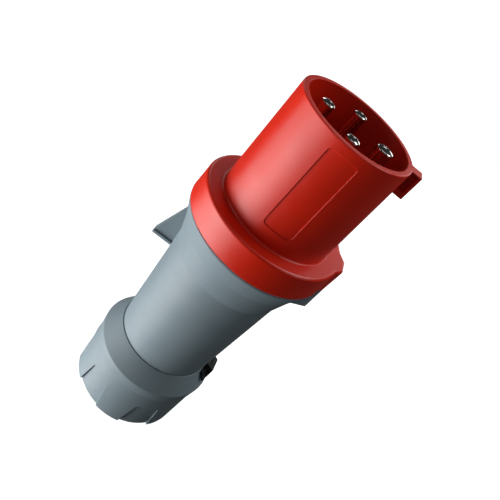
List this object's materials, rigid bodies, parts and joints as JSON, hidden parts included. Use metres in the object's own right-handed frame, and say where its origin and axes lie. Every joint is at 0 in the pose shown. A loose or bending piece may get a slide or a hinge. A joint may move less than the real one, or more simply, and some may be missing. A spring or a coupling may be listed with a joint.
{
  "type": "industrial pin and sleeve plug",
  "caption": "Upright industrial power plug: pins in a round sleeve with guide key, thick collar, tapered housing with fin, lock slide and a screw gland nut.",
  "frame": {"origin": "centre of the gland nut's flat rear face, on the plug's axis", "axes": "+Z along the axis from the cable end to the pins, +X towards the guide key and earth pin (six o'clock)"},
  "size_m": [0.0985, 0.0928, 0.2465],
  "materials": {
    "red_moulding": "satin red polyamide moulding",
    "carrier_moulding": "dark red glass-filled moulding",
    "grey_moulding": "satin grey polyamide moulding",
    "black_moulding": "satin black moulding",
    "nickel_brass": "bright nickel plate on turned brass",
    "zinc_steel": "zinc-plated steel",
    "spring_steel": "rolled spring steel strip",
    "seal_rubber": "moulded black rubber",
    "pale_nylon": "natural nylon"
  },
  "bodies": {
    "plug_body": {"front_shroud": "red_moulding", "contact_carrier": "carrier_moulding", "carrier_backplate": "carrier_moulding", "carrier_gasket": "seal_rubber", "carrier_screws": "zinc_steel", "pin_earth": "nickel_brass", "pin_l1": "nickel_brass", "pin_l2": "nickel_brass", "pin_l3": "nickel_brass", "terminal_screws": "zinc_steel", "terminal_clamps": "zinc_steel", "terminal_partition": "carrier_moulding", "body_seal": "seal_rubber", "rear_housing": "grey_moulding", "lock_spring": "spring_steel", "cable_seal_outer": "seal_rubber", "cable_seal_inner": "seal_rubber", "slip_washer": "pale_nylon", "clamp_collet": "pale_nylon"},
    "lock": {"lock_slide": "black_moulding"},
    "pusher": {"thrust_ring": "pale_nylon"},
    "nut": {"gland_nut": "grey_moulding"}
  },
  "joints": [
    {"name": "lock_slide_travel", "type": "slide", "parent": "plug_body", "child": "lock", "axis": [0, 0, -1], "range_m": [0, 0.002]},
    {"name": "thrust_ring_travel", "type": "slide", "parent": "plug_body", "child": "pusher", "axis": [0, 0, 1], "range_m": [-0.0121, 0]},
    {"name": "gland_nut_turn", "type": "hinge", "parent": "pusher", "child": "nut", "pos_m": [0, 0, 0], "axis": [0, 0, 1], "range_deg": [-1440, 0]}
  ],
  "couplings": [
    {"joint": "thrust_ring_travel", "follows": "gland_nut_turn", "m_per_rad": 0.00047746}
  ]
}
